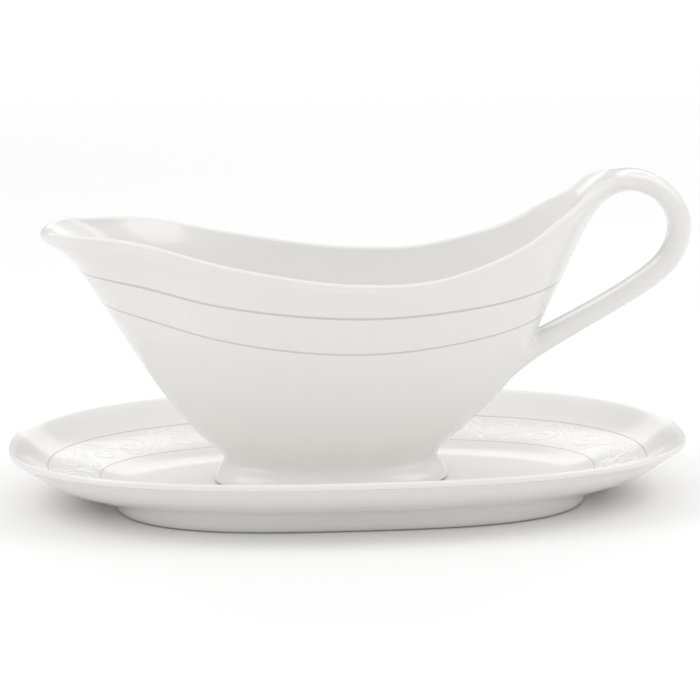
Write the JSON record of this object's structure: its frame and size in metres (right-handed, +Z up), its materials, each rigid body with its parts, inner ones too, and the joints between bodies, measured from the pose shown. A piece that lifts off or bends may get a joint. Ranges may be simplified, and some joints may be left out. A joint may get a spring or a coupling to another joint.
{
  "type": "gravy boat with saucer",
  "caption": "Oval porcelain sauce boat with pouring lip, high strap handle and pedestal foot, on a loose oval saucer.",
  "frame": {"origin": "on the table, under the middle of the set's bounding box, with the boat resting in its saucer", "axes": "+X towards the handle, -X towards the pouring lip, +Y across, +Z up"},
  "size_m": [0.242, 0.152, 0.1143],
  "materials": {
    "saucer_glaze": "gloss white glaze",
    "saucer_foot": "bare biscuit on the bearing edge",
    "bowl_glaze": "gloss white glaze",
    "handle_glaze": "gloss white glaze",
    "boat_foot_glaze": "gloss white glaze",
    "decor_line": "fired line in warm grey",
    "relief": "fine raised scroll under the glaze"
  },
  "bodies": {
    "saucer": {"saucer_plate": "saucer_glaze", "saucer_foot_ring": "saucer_foot"},
    "boat": {"bowl": "bowl_glaze", "handle": "handle_glaze", "boat_foot": "boat_foot_glaze"}
  },
  "joints": [
    {"name": "boat_lift", "type": "slide", "parent": "saucer", "child": "boat", "axis": [0, 0, 1], "range_m": [0, 0.06]}
  ]
}
